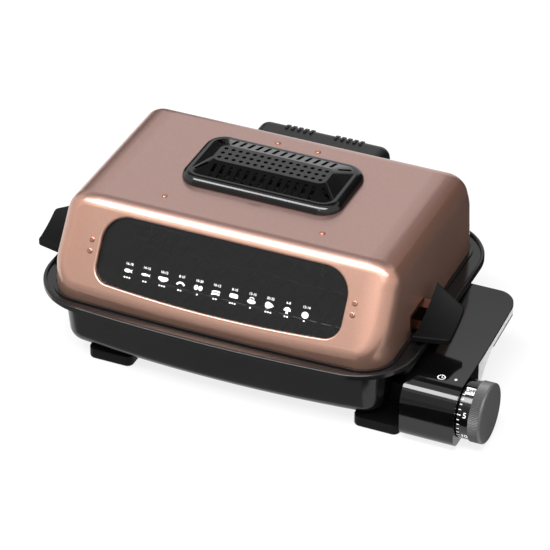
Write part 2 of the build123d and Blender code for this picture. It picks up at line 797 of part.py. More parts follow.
# Deodorizing filter: slab with a grid of square cells, lying in the pan
cell_pitch = filter_cell + filter_web
columns = int((filter_length - filter_web) // cell_pitch)
rows = int((filter_depth - filter_web) // cell_pitch)
cell = Pos(0, vent_centre_y, filter_base) * extrude(Rectangle(filter_cell, filter_cell), filter_thickness)
cells = [place * cell for place in GridLocations(cell_pitch, cell_pitch, columns, rows)]
parts["deodorizing_filter"] = extrude(around_filter(0, filter_base), filter_thickness) - cells

# Vent cover: hollow hill with a rounded rim, slots on its slopes and rows of holes in its flat platform
vent_base = lid_top + seat_clearance
vent_front_y = vent_centre_y - vent_depth / 2


def vent_form(inset):
    """Cover's outer form, sides and top moved inwards by inset: a rounded rim and a hill to the platform."""
    foot = vent_rect(vent_length - 2 * inset, vent_depth - 2 * inset, vent_corner - inset, vent_base)
    rim = extrude(foot, vent_rim_height - seat_clearance - inset, taper=vent_draft)
    rim = fillet(rim.edges().group_by(Axis.Z)[-1], vent_edge_round - inset)
    hill_inset = vent_edge_round + vent_ledge
    hill_foot = vent_rect(
        vent_length - 2 * hill_inset,
        vent_depth - 2 * hill_inset,
        vent_corner - hill_inset,
        lid_top + vent_rim_height - inset,
    )
    platform = vent_rect(
        vent_platform_length,
        vent_platform_depth,
        vent_platform_corner,
        lid_top + vent_height - inset,
    )
    return rim + loft([hill_foot, platform])


def vent_cut(x, y, angle, outline):
    """Upright cut through the cover at a place measured from the vent's centre."""
    return Pos(x, vent_centre_y + y, vent_base) * Rot(0, 0, angle) * extrude(outline, vent_height)


slope_slot = SlotOverall(vent_slot_length, vent_slot_width)
corner_slot = SlotOverall(vent_corner_slot_length, vent_slot_width)
vent_cuts = []
for side in (-1, 1):
    for index in range(vent_slots):
        x = (index - (vent_slots - 1) / 2) * vent_slot_pitch
        vent_cuts.append(vent_cut(x, side * vent_slot_offset, 90, slope_slot))
    for end in (-1, 1):
        angle = side * end * vent_corner_slot_angle
        vent_cuts.append(vent_cut(end * vent_corner_slot_x, side * vent_corner_slot_y, angle, corner_slot))
for place in GridLocations(vent_hole_pitch, vent_row_pitch, vent_hole_columns, vent_hole_rows):
    spot = place.position
    vent_cuts.append(vent_cut(spot.X, spot.Y, 0, Circle(vent_hole_radius)))
mark_plane = Plane.XZ.offset(-vent_front_y - vent_wall - vent_mark_proud)
mark_outline = Pos(0, lid_top + vent_mark_rise) * SlotOverall(vent_mark_length, vent_mark_height)
vent_cover = vent_form(0) - vent_form(vent_wall) + extrude(mark_plane * mark_outline, vent_wall)
parts["vent_cover"] = vent_cover - vent_cuts

# Upper heater: one bent tube under the lid's top, both leads out through the rear wall
upper_route = []
for x, y in (
    (upper_heater_lead_x, upper_lead_y),
    (upper_heater_lead_x, upper_heater_rear_y),
    (upper_heater_reach, upper_heater_rear_y),
    (upper_heater_reach, upper_heater_front_y),
    (upper_heater_mid_x, upper_heater_front_y),
    (upper_heater_mid_x, upper_heater_mid_y),
):
    upper_route.append((-x, y, upper_heater_z))
upper_route += [(-x, y, z) for x, y, z in reversed(upper_route)]
parts["upper_heater"] = tube_along(upper_route, heater_bend, heater_radius)

# Heater hangers: riveted plates under the lid's top, each leg with an eye round the tube
leg_low = upper_heater_z - hanger_eye
plate_low = lid_under - hanger_sheet
eye_radius = heater_radius + pin_clearance
hanger_outer_x = hanger_rivet_x + hanger_width / 2
leg_x = hanger_outer_x - hanger_sheet
hanger_middle_y = (hanger_rivet_y + upper_heater_front_y) / 2
hanger = block(
    (hanger_outer_x - hanger_width, hanger_middle_y - hanger_depth / 2, plate_low),
    (hanger_outer_x, hanger_middle_y + hanger_depth / 2, lid_under),
)
hanger += block(
    (leg_x, upper_heater_front_y - hanger_eye, leg_low),
    (hanger_outer_x, upper_heater_front_y + hanger_eye, lid_under),
)
eye_start = (leg_x - hanger_sheet, upper_heater_front_y, upper_heater_z)
hanger -= rod(eye_start, (hanger_outer_x + hanger_sheet, upper_heater_front_y, upper_heater_z), eye_radius)
hanger -= rivet_holes
parts["heater_hanger_right"] = hanger
parts["heater_hanger_left"] = mirror(hanger, about=Plane.YZ)

hanger_rear_y = rear_rivet_y + hanger_rear_margin
hanger_half = upper_heater_lead_x + hanger_eye
leg_y = hanger_rear_y - hanger_sheet
rear_hanger = block(
    (-hanger_half, rear_rivet_y - hanger_rear_margin, plate_low),
    (hanger_half, hanger_rear_y, lid_under),
)
for x in (-upper_heater_lead_x, upper_heater_lead_x):
    rear_hanger += block((x - hanger_eye, leg_y, leg_low), (x + hanger_eye, hanger_rear_y, lid_under))
    eye_start = (x, leg_y - hanger_sheet, upper_heater_z)
    rear_hanger -= rod(eye_start, (x, hanger_rear_y + hanger_sheet, upper_heater_z), eye_radius)
parts["heater_hanger_rear"] = rear_hanger - rivet_holes

# Upper terminal block: ceramic block behind the rear wall, bored through for the leads
block_rear_y = rear_wall_y + block_depth
upper_block = block(
    (-block_width / 2, 0, upper_heater_z - block_height / 2),
    (block_width / 2, block_rear_y, upper_heater_z + block_height / 2),
)
upper_block = split(upper_block, rear_face.offset(block_seat), keep=Keep.TOP)
for x in (-upper_heater_lead_x, upper_heater_lead_x):
    bore_start = (x, rear_wall_y - block_depth, upper_heater_z)
    upper_block -= rod(bore_start, (x, block_rear_y, upper_heater_z), heater_radius + pin_clearance)
parts["upper_terminal_block"] = upper_block


def hood_block(inset):
    """Block of the rear hood behind the lid, its top, sides and rear moved inwards by inset."""
    half = hood_width / 2 - inset
    solid = block((-half, 0, hood_bottom), (half, hood_rear_y - inset, hood_top - inset))
    corners = solid.edges().filter_by(Axis.Z).group_by(Axis.Y)[-1]
    crown = solid.edges().group_by(Axis.Z)[-1].group_by(Axis.Y)
    return fillet([*corners, *crown[-1], *crown[1]], hood_round - inset)


# Rear hood: hollow cover over the leads, with two groups of slots across its top rear edge
rear_hood = hood_block(0) - hood_block(hood_wall)
for side in (-1, 1):
    for index in range(hood_slots):
        x = side * hood_slot_group_x + (index - (hood_slots - 1) / 2) * hood_slot_pitch
        rear_hood -= block(
            (x - hood_slot_width / 2, hood_rear_y - hood_slot_length, hood_top - hood_slot_drop),
            (x + hood_slot_width / 2, hood_rear_y, hood_top),
        )
parts["rear_hood"] = split(rear_hood, rear_face, keep=Keep.TOP)

# Hood base: plate that closes the hood from below
base_low = hood_bottom + hood_base_rise
hood_base = hood_block(hood_wall + box_fit) & block(
    (-hood_width / 2, 0, base_low),
    (hood_width / 2, hood_rear_y, base_low + hood_wall),
)
parts["hood_base"] = split(hood_base, rear_face.offset(seat_clearance), keep=Keep.TOP)

# Hinge: on each side a bracket with two ears in the rim's channel, a pin, and an arm clad on the lid's rear
knuckle_half = knuckle_width / 2
ear_inner = knuckle_half + ear_gap
ear_outer = ear_inner + ear_thickness
bracket_top = shelf_top + bracket_sheet
channel_outside = rim_outline(bead_width + seat_clearance)
channel = ring(channel_outside, lid_outline(-lip_outside - seat_clearance), shelf_top, bracket_top)
for side, x in (("left", -hinge_x), ("right", hinge_x)):
    bracket = channel & block(
        (x - bracket_length / 2, 0, shelf_top),
        (x + bracket_length / 2, rim_depth, bracket_top),
    )
    for low, high in ((x - ear_outer, x - ear_inner), (x + ear_inner, x + ear_outer)):
        bracket += block((low, hinge_y - ear_depth / 2, shelf_top), (high, hinge_y + ear_depth / 2, hinge_z))
        bracket += rod((low, hinge_y, hinge_z), (high, hinge_y, hinge_z), ear_radius)
    pin_start = (x - ear_outer, hinge_y, hinge_z)
    pin_end = (x + ear_outer, hinge_y, hinge_z)
    parts[f"hinge_bracket_{side}"] = bracket - rod(pin_start, pin_end, hinge_pin_radius + pin_clearance)
    parts[f"hinge_pin_{side}"] = rod(pin_start, pin_end, hinge_pin_radius)
    arm = lid_cladding & block(
        (x - arm_plate_width / 2, 0, arm_plate_low),
        (x + arm_plate_width / 2, rim_depth, arm_plate_high),
    )
    web = block(
        (x - knuckle_half, 0, hinge_z - arm_web / 2),
        (x + knuckle_half, hinge_y, hinge_z + arm_web / 2),
    )
    arm += web - lid_outside - block((-rim_length, -rim_depth, 0), (rim_length, 0, lid_top))
    arm += rod((x - knuckle_half, hinge_y, hinge_z), (x + knuckle_half, hinge_y, hinge_z), knuckle_radius)
    arm -= rod(pin_start, pin_end, hinge_pin_radius + shaft_clearance)
    parts[f"hinge_arm_{side}"] = arm


def handle_sheet(drop, thickness, inner_x, outer_x):
    """Sheet that follows the handle's curve, its top lowered by drop, between two places along X."""
    top = handle_front_z - drop
    low = top - thickness
    edges = []
    for level in (top, low):
        edges.append(Line((handle_front_y, level), (handle_rise_y, level)))
        edges.append(
            ThreePointArc(
                (handle_rise_y, level),
                (handle_mid_y, level + handle_mid_rise),
                (handle_rear_y, level + handle_rear_rise),
            )
        )
    edges.append(Line((handle_front_y, low), (handle_front_y, top)))
    edges.append(Line((handle_rear_y, low + handle_rear_rise), (handle_rear_y, top + handle_rear_rise)))
    face = make_face(edges)
    kinks = [corner for corner in face.vertices() if abs(corner.X - handle_rise_y) < pin_clearance]
    face = fillet(kinks, handle_rise_round)
    return extrude(Plane.YZ.offset(inner_x) * face, outer_x - inner_x)


# Side handles: curved slabs with slanted ends, each on a strap clad on the lid's end wall
handle_plan = make_face(
    Polyline(
        (handle_inner_x, handle_front_y),
        (handle_outer_x, handle_front_y + handle_front_slant),
        (handle_outer_x, handle_rear_y - handle_rear_slant),
        (handle_inner_x, handle_rear_y),
        close=True,
    )
)
handle_plan = fillet(handle_plan.vertices().sort_by(Axis.X)[-2:], handle_corner)
handle = handle_sheet(0, handle_thickness, handle_inner_x, handle_outer_x)
handle = handle & extrude(handle_plan, lid_top)
rounded_edges = []
for edge in handle.edges():
    along = edge % 0.5
    is_seam = abs(along.X) > 1 - pin_clearance / 10 or abs(along.Z) > 1 - pin_clearance / 10
    if not is_seam and edge.center().X > handle_inner_x + pin_clearance:
        rounded_edges.append(edge)
handle = fillet(rounded_edges, handle_edge)
parts["handle_right"] = handle
parts["handle_left"] = mirror(handle, about=Plane.YZ)

strap = lid_cladding & block(
    (0, strap_front_y - strap_width / 2 - strap_margin, strap_plate_low),
    (rim_length, strap_rear_y + strap_width / 2 + strap_margin, strap_plate_high),
)
strap_drop = (handle_thickness - strap_sheet) / 2
strap_sheet_form = handle_sheet(strap_drop, strap_sheet, handle_inner_x / 2, handle_inner_x)
for y in (strap_front_y, strap_rear_y):
    arm_zone = block((0, y - strap_width / 2, 0), (handle_inner_x, y + strap_width / 2, lid_top))
    strap += (strap_sheet_form & arm_zone) - lid_outside
parts["handle_strap_right"] = strap
parts["handle_strap_left"] = mirror(strap, about=Plane.YZ)

# The finished pieces are moved so that the origin lies on the table under the middle of the whole
whole = tub.bounding_box()
for solid in parts.values():
    whole = whole.add(solid.bounding_box())
shift = Pos(-whole.center().X, -whole.center().Y, -whole.min.Z)
for name, solid in parts.items():
    export_step(shift * solid, f"parts/{name}.step")
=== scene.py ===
import bmesh
import bpy
import numpy as np
from mathutils import Matrix, Vector


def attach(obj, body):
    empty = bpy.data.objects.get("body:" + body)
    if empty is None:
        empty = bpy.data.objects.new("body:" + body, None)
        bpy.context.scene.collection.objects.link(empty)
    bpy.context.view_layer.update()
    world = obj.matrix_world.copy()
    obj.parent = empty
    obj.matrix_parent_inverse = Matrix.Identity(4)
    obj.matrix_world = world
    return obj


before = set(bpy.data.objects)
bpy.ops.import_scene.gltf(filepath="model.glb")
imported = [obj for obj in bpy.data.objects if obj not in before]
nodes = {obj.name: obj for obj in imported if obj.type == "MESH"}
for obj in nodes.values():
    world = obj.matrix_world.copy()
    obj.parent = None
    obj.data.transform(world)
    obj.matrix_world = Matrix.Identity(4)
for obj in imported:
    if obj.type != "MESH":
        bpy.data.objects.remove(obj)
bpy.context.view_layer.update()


# Stage: a pale paper floor under the grill, soft boxes above it, in front and at both sides, and glowing grey
# cards that only mirrors show, painted reflections for the shiny paint. The camera stands right of the front
# and looks down 34 degrees.

def srgb(code):
    """Hex colour to linear RGBA: c/12.92 below 0.04045, else ((c+0.055)/1.055) to the power 2.4."""
    c = np.array([int(code[i:i + 2], 16) for i in (1, 3, 5)]) / 255
    linear = np.where(c <= 0.04045, c / 12.92, ((c + 0.055) / 1.055) ** 2.4)
    return (*linear.tolist(), 1.0)


def wire(tree, node, sockets):
    """Fills a node's sockets with values, or with links from (node, output) pairs."""
    for name, value in sockets.items():
        if isinstance(value, tuple) and isinstance(value[0], bpy.types.Node):
            tree.links.new(value[0].outputs[value[1]], node.inputs[name])
        else:
            node.inputs[name].default_value = value
    return node


def put(tree, kind, sockets={}, **settings):
    """Adds one shader node with its settings, values and links."""
    made = tree.nodes.new(kind)
    for name, value in settings.items():
        setattr(made, name, value)
    return wire(tree, made, sockets)


def new_material(name):
    """A fresh material, its node tree, its principled shader and a texture coordinate node."""
    made = bpy.data.materials.new(name)
    made.use_nodes = True
    made.node_tree.nodes.clear()
    skin = put(made.node_tree, "ShaderNodeBsdfPrincipled")
    put(made.node_tree, "ShaderNodeOutputMaterial", {"Surface": (skin, 0)})
    return made, made.node_tree, skin, put(made.node_tree, "ShaderNodeTexCoord")


def seen(tree):
    """1 for rays that come straight from the eye, or by way of a mirror or a pane; 0 for lighting rays."""
    path = put(tree, "ShaderNodeLightPath")
    eye_or_mirror = {0: (path, "Is Camera Ray"), 1: (path, "Is Glossy Ray")}
    either = put(tree, "ShaderNodeMath", eye_or_mirror, operation="MAXIMUM")
    or_pane = {0: (either, 0), 1: (path, "Is Transmission Ray")}
    return put(tree, "ShaderNodeMath", or_pane, operation="MAXIMUM")


scene = bpy.context.scene
scene.view_settings.view_transform = "Standard"

view_turn = np.radians(23.591)
view_rise = np.radians(33.819)
view_distance = 3.295009
aim_right, aim_up = 0.009876, 0.055114
focal_pixels, picture_pixels = 3231.607, 550
right = np.array([np.cos(view_turn), np.sin(view_turn), 0])
towards_eye = np.array([np.sin(view_turn), -np.cos(view_turn), 0])
back = np.cos(view_rise) * towards_eye + np.sin(view_rise) * np.array([0, 0, 1])
up = np.cross(back, right)
tub_centre = np.array([-0.02665, -0.00385, 0])
eye = tub_centre + aim_right * right + aim_up * up + view_distance * back
lens = bpy.data.cameras.new("lens")
lens.sensor_width = 36
lens.lens = focal_pixels * lens.sensor_width / picture_pixels
lens.clip_end = 50
camera = bpy.data.objects.new("camera", lens)
camera_rows = np.column_stack([right, up, back, eye])
camera.matrix_world = Matrix([*camera_rows.tolist(), [0, 0, 0, 1]])
scene.collection.objects.link(camera)
scene.camera = camera

world = bpy.data.worlds.new("studio")
world.use_nodes = True
scene.world = world
tree = world.node_tree
tree.nodes.clear()
room_light = put(tree, "ShaderNodeBackground", {"Color": srgb("#f4f4f6"), "Strength": 0.55})
room_white = put(tree, "ShaderNodeBackground", {"Color": srgb("#ffffff"), "Strength": 1.0})
room = put(tree, "ShaderNodeMixShader", {0: (seen(tree), 0), 1: (room_light, 0), 2: (room_white, 0)})
put(tree, "ShaderNodeOutputWorld", {"Surface": (room, 0)})


def soft_box(name, at, aim, width, height, power, mirrored=True):
    """A rectangular lamp at one place, facing another; a fill lamp isn't mirrored in the paint."""
    lamp = bpy.data.lights.new(name, "AREA")
    lamp.shape = "RECTANGLE"
    lamp.size = width
    lamp.size_y = height
    lamp.energy = power
    made = bpy.data.objects.new(name, lamp)
    facing = (Vector(aim) - Vector(at)).to_track_quat("-Z", "Y")
    made.matrix_world = Matrix.Translation(at) @ facing.to_matrix().to_4x4()
    made.visible_glossy = mirrored
    scene.collection.objects.link(made)


soft_box("overhead_strip", (-0.06, -0.7, 1.45), (0, 0, 0.1), 1.88, 0.5, 44)
soft_box("front_box", (0.08, -1.3, 1.1), (0, 0, 0.1), 0.35, 0.5, 1.8)
soft_box("left_fill", (-1.6, -0.7, 0.9), (0, 0, 0.1), 0.8, 1.2, 12, mirrored=False)
soft_box("right_fill", (1.7, -0.6, 0.6), (0, 0, 0.1), 0.7, 0.7, 9, mirrored=False)


def grid_mesh(name, points):
    """Mesh of quads over a grid of points (rows, columns, 3)."""
    rows, columns = points.shape[:2]
    index = np.arange(rows * columns).reshape(rows, columns)
    quads = np.stack([index[:-1, :-1], index[:-1, 1:], index[1:, 1:], index[1:, :-1]], -1)
    mesh = bpy.data.meshes.new(name)
    mesh.from_pydata(points.reshape(-1, 3).tolist(), [], quads.reshape(-1, 4).tolist())
    return mesh


def piece(name, mesh, material):
    """A new object at the origin with its finish."""
    made = bpy.data.objects.new(name, mesh)
    made.data.materials.append(material)
    scene.collection.objects.link(made)
    return made


def sheet(centre, across, along):
    """Flat sheet of four quads: centre + u across + v along, u and v from -1 to 1."""
    v, u = np.meshgrid([-1, 0, 1], [-1, 0, 1], indexing="ij")
    return np.array(centre) + u[..., None] * np.array(across) + v[..., None] * np.array(along)


def every_mm(spacing):
    """Texture scale for spots this many millimetres apart: 1000 / spacing, because coordinates are metres.
    Grain that is finer than that in life is drawn 0.7 to 1.1 mm wide, so that it shows in the render."""
    return 1000 / spacing


paper, tree, skin, place = new_material("seamless_paper")
fibre = put(tree, "ShaderNodeTexNoise", {"Vector": (place, "Object"), "Scale": every_mm(4), "Detail": 3.0})
pulp = put(tree, "ShaderNodeMix", {0: (fibre, 0), 6: srgb("#f4f4f4"), 7: srgb("#f8f8f8")}, data_type="RGBA")
wire(tree, skin, {"Base Color": (pulp, 2), "Roughness": 0.9})
glow = put(tree, "ShaderNodeEmission", {"Color": srgb("#ffffff"), "Strength": 1.0})
glow_share = put(tree, "ShaderNodeMath", {0: (seen(tree), 0), 1: 0.8}, operation="MULTIPLY")
lit_paper = put(tree, "ShaderNodeMixShader", {0: (glow_share, 0), 1: (skin, 0), 2: (glow, 0)})
wire(tree, tree.nodes["Material Output"], {"Surface": (lit_paper, 0)})
piece("floor", grid_mesh("floor", sheet((0, 0, 0), (4, 0, 0), (0, 4, 0))), paper)


def card(name, tone, centre, across, along):
    """A glowing grey card, a painted reflection that only mirrors show: it throws no shadow and the camera
    doesn't see it.
    """
    grey, tree, skin, place = new_material(name)
    shade = put(tree, "ShaderNodeEmission", {"Color": srgb(tone), "Strength": 1.0})
    wire(tree, tree.nodes["Material Output"], {"Surface": (shade, 0)})
    made = piece(name, grid_mesh(name, sheet(centre, across, along)), grey)
    made.visible_camera = False
    made.visible_diffuse = False
    made.visible_shadow = False
    made.visible_transmission = False


card("front_card", "#c0c0c0", (-0.55, -1.25, 0.7), (0.5, 0, 0), (0, 0, 0.43))
card("front_low_card", "#a0a0a0", (-0.5, -1.25, 0.135), (1.1, 0, 0), (0, 0, 0.13))
card("tub_floor_card", "#b0b0b0", (-0.735, -1.07, 0.002), (0.865, 0, 0), (0, 0.94, 0))
card("drum_floor_card", "#141414", (0.865, -1.105, 0.002), (0.735, 0, 0), (0, 0.94, 0))
card("right_rear_card", "#323232", (0.85, 1.0, 0.45), (0.55, -0.47, 0), (0, 0, 0.6))
card("rear_high_card", "#383838", (0.45, 1.3, 1.25), (0.5, 0, 0), (0, 0.1, 0.3))
card("right_floor_card", "#282828", (0.75, 0.65, 0.002), (0.6, 0, 0), (0, 0.75, 0))
card("left_rear_card", "#303030", (-1.25, 1.3, 0.3), (0.5, 0.45, 0), (0, 0, 0.42))
card("ceiling_card", "#4a4a4a", (-0.5, 0.75, 1.5), (1.3, 0, 0), (0, 0.45, 0))


def dress(material, *names):
    """Gives CAD pieces their finish."""
    for name in names:
        nodes[name].data.materials.clear()
        nodes[name].data.materials.append(material)


enamel, tree, skin, place = new_material("baked_black_paint")
peel = put(tree, "ShaderNodeTexNoise", {"Vector": (place, "Object"), "Scale": every_mm(1.1), "Detail": 2.0})
bump = put(tree, "ShaderNodeBump", {"Height": (peel, 0), "Strength": 0.08, "Distance": 0.0003})
cloud = put(tree, "ShaderNodeTexNoise", {"Vector": (place, "Object"), "Scale": every_mm(70), "Detail": 3.0})
rough = put(tree, "ShaderNodeMapRange", {"Value": (cloud, 0), "To Min": 0.13, "To Max": 0.21})
tone = put(tree, "ShaderNodeMix", {0: (cloud, 0), 6: srgb("#0c0c0d"), 7: srgb("#131314")}, data_type="RGBA")
wire(tree, skin, {"Base Color": (tone, 2), "Roughness": (rough, 0), "Normal": (bump, 0)})
wire(tree, skin, {"Specular IOR Level": 0.38})
dress(enamel, "tub", "hinge_bracket_left", "hinge_bracket_right", "hinge_arm_left", "hinge_arm_right")


# Feet: moulded phenolic pads under the tub, each held by a pan-head screw sunk in its underside. The moulding
# is dull, with a sand-blasted grain, and the screw's zinc plating is pale grey in small clouds. Cord inlet
# and side handles are of the same phenolic; saddles, hinge pins and timer shaft have the same plating.
phenolic, tree, skin, place = new_material("black_phenolic")
grain = put(tree, "ShaderNodeTexNoise", {"Vector": (place, "Object"), "Scale": every_mm(0.7), "Detail": 1.0})
bump = put(tree, "ShaderNodeBump", {"Height": (grain, 0), "Strength": 0.25, "Distance": 0.0002})
tone = put(tree, "ShaderNodeMix", {0: (grain, 0), 6: srgb("#070707"), 7: srgb("#0f0f0f")}, data_type="RGBA")
wire(tree, skin, {"Base Color": (tone, 2), "Roughness": 0.5, "Normal": (bump, 0), "Specular IOR Level": 0.08})
dress(phenolic, "foot_front_left", "foot_rear_left", "foot_front_right", "foot_rear_right", "cord_inlet")
dress(phenolic, "handle_left", "handle_right")

zinc, tree, skin, place = new_material("zinc_plated_steel")
cloud = put(tree, "ShaderNodeTexNoise", {"Vector": (place, "Object"), "Scale": every_mm(5.5), "Detail": 4.0})
tone = put(tree, "ShaderNodeMix", {0: (cloud, 0), 6: srgb("#a9adb0"), 7: srgb("#c9cbcb")}, data_type="RGBA")
rough = put(tree, "ShaderNodeMapRange", {"Value": (cloud, 0), "To Min": 0.28, "To Max": 0.46})
wire(tree, skin, {"Base Color": (tone, 2), "Roughness": (rough, 0), "Metallic": 1.0})
dress(zinc, "foot_screws", "heater_saddles", "hinge_pin_left", "hinge_pin_right", "timer_shaft")


# Foot web: a dark web on the right front foot that fills the corner between the tub and the drum. It stands
# in partly for a moulding and partly for the shade under that corner, as painted shade.
# The plate is 3 mm thick, of the feet's phenolic. Its inner edge keeps clear of the tub: first round the bend
# of the floor, root of (bend squared - depth below the bend's top squared), then up the leaning side.
shade_web_low, shade_web_high, shade_web_end, shade_web_y, shade_web_thickness = 0.012, 0.038, 0.1681, -0.086, 0.003
floor_end, floor_bend, side_lean, side_clearance = 0.1286, 0.015, 0.0875, 0.0005
bend_top = shade_web_low + floor_bend
heights, shares = np.linspace(shade_web_low, shade_web_high, 14), np.linspace(0, 1, 12)
shade_web_z, shade_web_share = np.meshgrid(heights, shares, indexing="ij")
floor_round = np.sqrt(np.maximum(floor_bend ** 2 - np.maximum(bend_top - shade_web_z, 0) ** 2, 0))
tub_side = floor_end + floor_round + side_clearance + side_lean * np.maximum(shade_web_z - bend_top, 0)
shade_web_x = tub_side + shade_web_share * (shade_web_end - tub_side)
shade_web_points = np.stack([shade_web_x, np.full_like(shade_web_x, shade_web_y), shade_web_z], -1)
shade_web = piece("foot_shade_web", grid_mesh("foot_shade_web", shade_web_points), phenolic)
thicken = shade_web.modifiers.new("plate", "SOLIDIFY")
thicken.thickness = shade_web_thickness
thicken.offset = 0.0
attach(shade_web, "base")


# Drip tray: pressed aluminium pan with a baked non-stick coat, speckled with pale grains 0.4 mm across.
# It lies loose on the tub's floor and catches the fat.
nonstick, tree, skin, place = new_material("speckled_nonstick")
cells = put(tree, "ShaderNodeTexVoronoi", {"Vector": (place, "Object"), "Scale": every_mm(2.4)})
speck_range = {"From Min": 0.1, "From Max": 0.16, "To Min": 1.0, "To Max": 0.0}
speck = put(tree, "ShaderNodeMapRange", {"Value": (cells, "Distance"), **speck_range})
tone = put(tree, "ShaderNodeMix", {0: (speck, 0), 6: srgb("#1d1d1f"), 7: srgb("#5a5a5c")}, data_type="RGBA")
wire(tree, skin, {"Base Color": (tone, 2), "Roughness": 0.42})
dress(nonstick, "drip_tray")


# Heaters: steel-sheathed elements bent from one tube, browned and blued by heat in long cloudy stretches.
# The lower one lies on saddles in the tub, the upper one hangs in the lid.
sheath, tree, skin, place = new_material("heat_blued_sheath")
cloud = put(tree, "ShaderNodeTexNoise", {"Vector": (place, "Object"), "Scale": every_mm(45), "Detail": 3.0})
tone = put(tree, "ShaderNodeMix", {0: (cloud, 0), 6: srgb("#4d4038"), 7: srgb("#6f6e72")}, data_type="RGBA")
rough = put(tree, "ShaderNodeMapRange", {"Value": (cloud, 0), "To Min": 0.4, "To Max": 0.5})
wire(tree, skin, {"Base Color": (tone, 2), "Roughness": (rough, 0), "Metallic": 1.0})
dress(sheath, "lower_heater", "upper_heater")


# Rack: steel wires spot-welded to a bent frame and chromed. The plating is bright, with slight drawing marks.
# It lies on the ledges near the rim and lifts out.
chrome, tree, skin, place = new_material("chromed_wire")
marks = put(tree, "ShaderNodeTexNoise", {"Vector": (place, "Object"), "Scale": every_mm(1.7), "Detail": 2.0})
rough = put(tree, "ShaderNodeMapRange", {"Value": (marks, 0), "To Min": 0.12, "To Max": 0.24})
tone = put(tree, "ShaderNodeMix", {0: (marks, 0), 6: srgb("#cdced0"), 7: srgb("#d8d9da")}, data_type="RGBA")
wire(tree, skin, {"Base Color": (tone, 2), "Roughness": (rough, 0), "Metallic": 1.0})
dress(chrome, "grill_rack")


# Terminal housing: moulded neck between the tub and the control box, with a dull cream steatite block inside
# for the leads. The moulding has the satin skin of glass-filled polyester, as have the rear hood and its
# base.
polyester, tree, skin, place = new_material("satin_black_polyester")
grain = put(tree, "ShaderNodeTexNoise", {"Vector": (place, "Object"), "Scale": every_mm(0.9), "Detail": 2.0})
bump = put(tree, "ShaderNodeBump", {"Height": (grain, 0), "Strength": 0.12, "Distance": 0.0002})
cloud = put(tree, "ShaderNodeTexNoise", {"Vector": (place, "Object"), "Scale": every_mm(33), "Detail": 2.0})
rough = put(tree, "ShaderNodeMapRange", {"Value": (cloud, 0), "To Min": 0.3, "To Max": 0.4})
tone = put(tree, "ShaderNodeMix", {0: (grain, 0), 6: srgb("#0b0b0b"), 7: srgb("#121212")}, data_type="RGBA")
wire(tree, skin, {"Base Color": (tone, 2), "Roughness": (rough, 0), "Normal": (bump, 0)})
wire(tree, skin, {"Specular IOR Level": 0.38})
dress(polyester, "terminal_housing", "rear_hood", "hood_base")

steatite, tree, skin, place = new_material("steatite_ceramic")
cloud = put(tree, "ShaderNodeTexNoise", {"Vector": (place, "Object"), "Scale": every_mm(3.8), "Detail": 4.0})
tone = put(tree, "ShaderNodeMix", {0: (cloud, 0), 6: srgb("#d9d4c6"), 7: srgb("#e8e5da")}, data_type="RGBA")
wire(tree, skin, {"Base Color": (tone, 2), "Roughness": 0.7})
dress(steatite, "terminal_block", "upper_terminal_block")


# Control box: a cover of ABS over the drum and the tail, polished to a piano black that mirrors the room, and
# below it a pale grey case with a spark-eroded grain. The two are snapped together.
piano, tree, skin, place = new_material("piano_black_abs")
wave = put(tree, "ShaderNodeTexNoise", {"Vector": (place, "Object"), "Scale": every_mm(55), "Detail": 1.0})
bump = put(tree, "ShaderNodeBump", {"Height": (wave, 0), "Strength": 0.02, "Distance": 0.001})
rough = put(tree, "ShaderNodeMapRange", {"Value": (wave, 0), "To Min": 0.05, "To Max": 0.1})
tone = put(tree, "ShaderNodeMix", {0: (wave, 0), 6: srgb("#050505"), 7: srgb("#080808")}, data_type="RGBA")
wire(tree, skin, {"Base Color": (tone, 2), "Roughness": (rough, 0), "Normal": (bump, 0)})
dress(piano, "control_cover")

grey_abs, tree, skin, place = new_material("pale_grey_abs")
grain = put(tree, "ShaderNodeTexNoise", {"Vector": (place, "Object"), "Scale": every_mm(0.83), "Detail": 1.0})
bump = put(tree, "ShaderNodeBump", {"Height": (grain, 0), "Strength": 0.15, "Distance": 0.0002})
tone = put(tree, "ShaderNodeMix", {0: (grain, 0), 6: srgb("#c6c6c7"), 7: srgb("#d0d0d1")}, data_type="RGBA")
wire(tree, skin, {"Base Color": (tone, 2), "Roughness": 0.45, "Normal": (bump, 0)})
dress(grey_abs, "control_case")


# Index on the drum: a dot that the dial is set against, and a clock face beside it. Both are pad-printed in
# white ink, a film of a few hundredths of a millimetre, on the curved top of the cover.
ink, tree, skin, place = new_material("white_pad_ink")
mottle = put(tree, "ShaderNodeTexNoise", {"Vector": (place, "Object"), "Scale": every_mm(1.1), "Detail": 2.0})
tone = put(tree, "ShaderNodeMix", {0: (mottle, 0), 6: srgb("#e2e2e2"), 7: srgb("#f4f4f4")}, data_type="RGBA")
wire(tree, skin, {"Base Color": (tone, 2), "Roughness": 0.5})
film = 0.00004


def printed(name, outlines, lay, body, material, half=film):
    """Ink film in closed shapes: each outline (n, 2) gives a face, an under face and the wall between them.
    lay turns places on the flat artwork (x, y, height) into places on the piece."""
    points, faces = [], []
    for outline in outlines:
        n, first = len(outline), sum(map(len, points))
        points.append(np.column_stack([np.tile(outline, (2, 1)), np.repeat([half, -half], n)]))
        face = np.arange(first, first + n)
        follow = np.roll(face, -1)
        faces += [face.tolist(), (face[::-1] + n).tolist()]
        faces += np.column_stack([face, face + n, follow + n, follow]).tolist()
    mesh = bpy.data.meshes.new(name)
    mesh.from_pydata(lay(np.concatenate(points)).tolist(), [], faces)
    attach(piece(name, mesh, material), body)


def ellipse(x, y, half_x, half_y, count=24):
    """Closed outline x + half_x cos t, y + half_y sin t."""
    t = np.linspace(0, 2 * np.pi, count, endpoint=False)
    return np.column_stack([x + half_x * np.cos(t), y + half_y * np.sin(t)])


